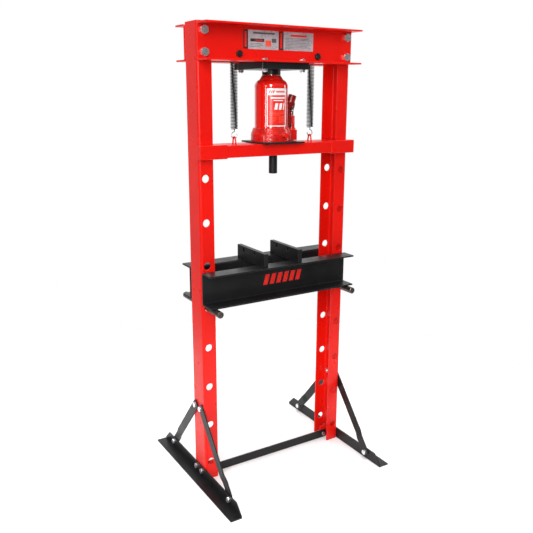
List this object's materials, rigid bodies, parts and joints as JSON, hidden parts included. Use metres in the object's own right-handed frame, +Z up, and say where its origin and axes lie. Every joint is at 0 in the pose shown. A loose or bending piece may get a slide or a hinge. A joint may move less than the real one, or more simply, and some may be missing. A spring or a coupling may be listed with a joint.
{
  "type": "hydraulic shop press",
  "caption": "Floor-standing H-frame shop press: a bottle jack pushes a sprung beam and ram down towards an adjustable bed on pins.",
  "frame": {"origin": "on the floor, in the middle of the two feet", "axes": "+Z up, +X to the right seen from the front, +Y to the back; the pump lever is on the +X side of the jack"},
  "size_m": [0.65, 0.593, 1.51],
  "materials": {
    "frame_red": "gloss powder coat",
    "jack_red": "gloss enamel",
    "black_coat": "satin powder coat",
    "zinc": "bright zinc plate",
    "dark_bolt": "black oxide",
    "pin_steel": "oiled bar",
    "spring_steel": "black oxide",
    "ground_steel": "ground",
    "rubber": "matt"
  },
  "bodies": {
    "frame": {"left_upright": "frame_red", "right_upright": "frame_red", "head_front_channel": "frame_red", "head_back_channel": "frame_red", "head_bolts": "zinc", "head_washers": "zinc", "head_nuts": "zinc", "hanger_bolts": "dark_bolt", "hanger_nuts": "dark_bolt", "head_plate": "black_coat", "head_plate_bolts": "zinc", "head_plate_nuts": "zinc", "head_ring": "black_coat", "left_foot": "black_coat", "right_foot": "black_coat", "left_front_brace": "black_coat", "left_back_brace": "black_coat", "right_front_brace": "black_coat", "right_back_brace": "black_coat", "base_bolts": "zinc", "base_nuts": "zinc", "tie_bar": "black_coat", "tie_tabs": "frame_red", "tie_bolts": "zinc", "tie_nuts": "zinc", "left_spring": "spring_steel", "right_spring": "spring_steel"},
    "press_beam": {"beam_main_tube": "frame_red", "beam_front_tube": "frame_red", "beam_sleeves": "frame_red", "beam_end_caps": "frame_red", "beam_spacers": "frame_red", "ram_socket": "frame_red", "press_ram": "black_coat", "spring_loops": "frame_red", "jack_base_plate": "black_coat", "jack_base": "jack_red", "jack_reservoir": "jack_red", "jack_cylinder": "ground_steel", "jack_top_nut": "jack_red", "pump_cylinder": "jack_red", "pump_links": "jack_red", "link_pins": "dark_bolt", "filler_plug": "rubber"},
    "jack_ram": {"jack_piston": "ground_steel", "piston_seal": "rubber", "extension_screw": "dark_bolt"},
    "pump_lever": {"handle_socket": "jack_red"},
    "plunger": {"pump_plunger": "ground_steel", "plunger_pin": "ground_steel"},
    "valve": {"release_valve": "jack_red"},
    "bed": {"bed_front_channel": "black_coat", "bed_back_channel": "black_coat", "bed_spacers": "black_coat"},
    "left_pin": {"left_bed_pin": "pin_steel"},
    "right_pin": {"right_bed_pin": "pin_steel"},
    "left_plate": {"left_bed_plate": "black_coat"},
    "right_plate": {"right_bed_plate": "black_coat"}
  },
  "joints": [
    {"name": "beam_slide", "type": "slide", "parent": "frame", "child": "press_beam", "axis": [0, 0, -1], "range_m": [0, 0.14], "stiffness_N_per_m": 3000, "springref_m": -0.12, "deforming": ["left_spring", "right_spring"]},
    {"name": "jack_extend", "type": "slide", "parent": "press_beam", "child": "jack_ram", "axis": [0, 0, 1], "range_m": [0, 0.14]},
    {"name": "pump_lever", "type": "hinge", "parent": "press_beam", "child": "pump_lever", "pos_m": [0.068, 0, 1.254], "axis": [0, 1, 0], "range_deg": [0, 58]},
    {"name": "plunger_slide", "type": "slide", "parent": "press_beam", "child": "plunger", "axis": [0, 0, -1], "range_m": [0, 0.01552]},
    {"name": "valve_turn", "type": "hinge", "parent": "press_beam", "child": "valve", "pos_m": [0.012, -0.063, 1.172], "axis": [0, -1, 0], "range_deg": [0, 180]},
    {"name": "bed_lift", "type": "slide", "parent": "frame", "child": "bed", "axis": [0, 0, 1], "range_m": [0, 0.14]},
    {"name": "left_pin_slide", "type": "slide", "parent": "frame", "child": "left_pin", "axis": [0, -1, 0], "range_m": [0, 0.24]},
    {"name": "right_pin_slide", "type": "slide", "parent": "frame", "child": "right_pin", "axis": [0, -1, 0], "range_m": [0, 0.24]},
    {"name": "left_plate_slide", "type": "slide", "parent": "bed", "child": "left_plate", "axis": [1, 0, 0], "range_m": [-0.12, 0.03]},
    {"name": "right_plate_slide", "type": "slide", "parent": "bed", "child": "right_plate", "axis": [1, 0, 0], "range_m": [-0.02, 0.12]}
  ],
  "couplings": [
    {"joint": "jack_extend", "follows": "beam_slide", "ratio": 1},
    {"joint": "plunger_slide", "follows": "pump_lever", "m_per_rad": 0.01533}
  ]
}
